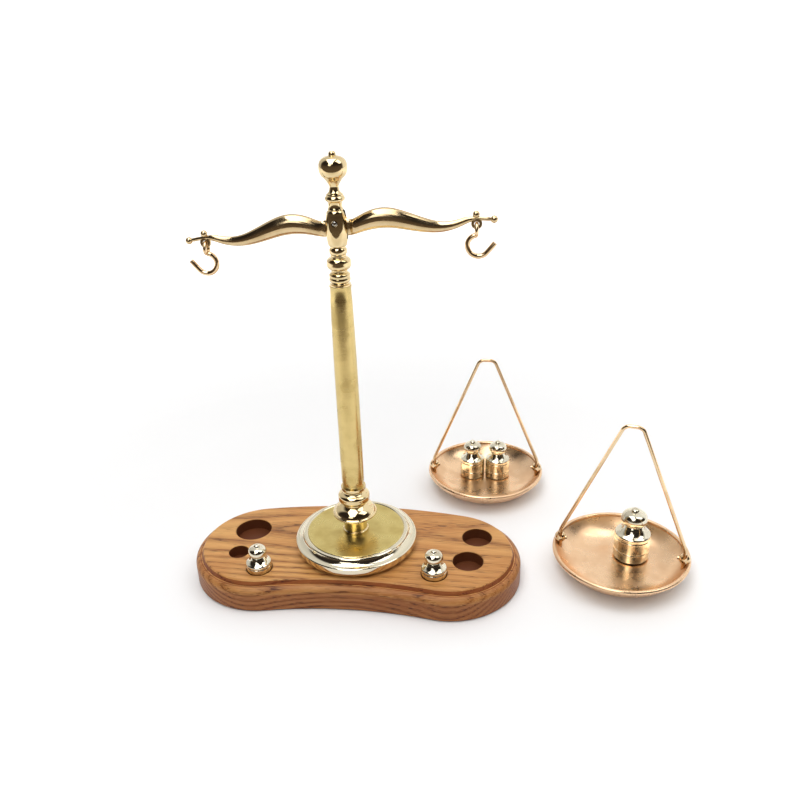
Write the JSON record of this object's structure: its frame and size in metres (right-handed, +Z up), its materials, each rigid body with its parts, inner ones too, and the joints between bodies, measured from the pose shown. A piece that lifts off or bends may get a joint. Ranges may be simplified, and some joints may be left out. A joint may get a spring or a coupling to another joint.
{
  "type": "balance scale",
  "caption": "Brass balance on an oak board: a beam rocks on a turned column, wire hooks hang at its ends, and pans with wire bails and brass weights stand beside it.",
  "frame": {"origin": "on the column's axis, at the underside of the board's felt, where it stands on the table", "axes": "+X along the board to the right, +Y towards the board's back, +Z up the column"},
  "size_m": [0.3013, 0.1912, 0.2515],
  "materials": {
    "oak": "clear satin varnish over golden-brown oak, grain along the board",
    "felt": "short brown nap",
    "satin_brass": "satin lacquered brass",
    "polished_brass": "polished brass",
    "pan_brass": "polished rose brass",
    "wire_brass": "drawn brass wire",
    "weight_brass": "turned and polished brass",
    "steel": "plain steel"
  },
  "bodies": {
    "stand": {"wood_base": "oak", "base_felt": "felt", "tie_rod": "steel", "tie_washer": "steel", "tie_nut": "steel", "foot_plate": "satin_brass", "foot_bell": "polished_brass", "collar": "polished_brass", "column": "satin_brass", "lower_bulb": "polished_brass", "upper_bulb": "polished_brass", "beam_head": "polished_brass", "head_cap": "polished_brass", "finial": "polished_brass", "pivot_pin": "steel"},
    "rocker": {"beam": "polished_brass"},
    "left_hanger": {"left_hook": "wire_brass"},
    "right_hanger": {"right_hook": "wire_brass"},
    "rear_dish": {"rear_pan": "pan_brass", "rear_left_stud": "wire_brass", "rear_right_stud": "wire_brass"},
    "rear_handle": {"rear_bail": "wire_brass"},
    "front_dish": {"front_pan": "pan_brass", "front_left_stud": "wire_brass", "front_right_stud": "wire_brass"},
    "front_handle": {"front_bail": "wire_brass"},
    "rear_left_mass": {"rear_left_weight": "weight_brass"},
    "rear_right_mass": {"rear_right_weight": "weight_brass"},
    "front_mass": {"front_weight": "weight_brass"},
    "board_left_mass": {"board_left_weight": "weight_brass"},
    "board_right_mass": {"board_right_weight": "weight_brass"}
  },
  "joints": [
    {"name": "beam_rock", "type": "hinge", "parent": "stand", "child": "rocker", "pos_m": [0, 0, 0.21681], "axis": [0, 1, 0], "range_deg": [-5.16, 12.84]},
    {"name": "left_hook_swing", "type": "hinge", "parent": "rocker", "child": "left_hanger", "pos_m": [-0.07037, 0, 0.20607], "axis": [0, 1, 0], "range_deg": [-30, 30]},
    {"name": "right_hook_swing", "type": "hinge", "parent": "rocker", "child": "right_hanger", "pos_m": [0.07118, 0, 0.21557], "axis": [0, 1, 0], "range_deg": [-30, 30]},
    {"name": "rear_pan_lift", "type": "slide", "parent": "stand", "child": "rear_dish", "axis": [0, 0, 1], "range_m": [0, 0.06]},
    {"name": "front_pan_lift", "type": "slide", "parent": "stand", "child": "front_dish", "axis": [0, 0, 1], "range_m": [0, 0.06]},
    {"name": "rear_bail_fold", "type": "hinge", "parent": "rear_dish", "child": "rear_handle", "pos_m": [0.0769, 0.104, 0.0154], "axis": [1, 0, 0], "range_deg": [-85, 80]},
    {"name": "front_bail_fold", "type": "hinge", "parent": "front_dish", "child": "front_handle", "pos_m": [0.1606, 0.0113, 0.0154], "axis": [0.9703, -0.2419, 0], "range_deg": [-85, 85]},
    {"name": "rear_left_weight_lift", "type": "slide", "parent": "rear_dish", "child": "rear_left_mass", "axis": [0, 0, 1], "range_m": [0, 0.03]},
    {"name": "rear_right_weight_lift", "type": "slide", "parent": "rear_dish", "child": "rear_right_mass", "axis": [0, 0, 1], "range_m": [0, 0.03]},
    {"name": "front_weight_lift", "type": "slide", "parent": "front_dish", "child": "front_mass", "axis": [0, 0, 1], "range_m": [0, 0.03]},
    {"name": "board_left_weight_lift", "type": "slide", "parent": "stand", "child": "board_left_mass", "axis": [0, 0, 1], "range_m": [0, 0.03]},
    {"name": "board_right_weight_lift", "type": "slide", "parent": "stand", "child": "board_right_mass", "axis": [0, 0, 1], "range_m": [0, 0.03]}
  ]
}
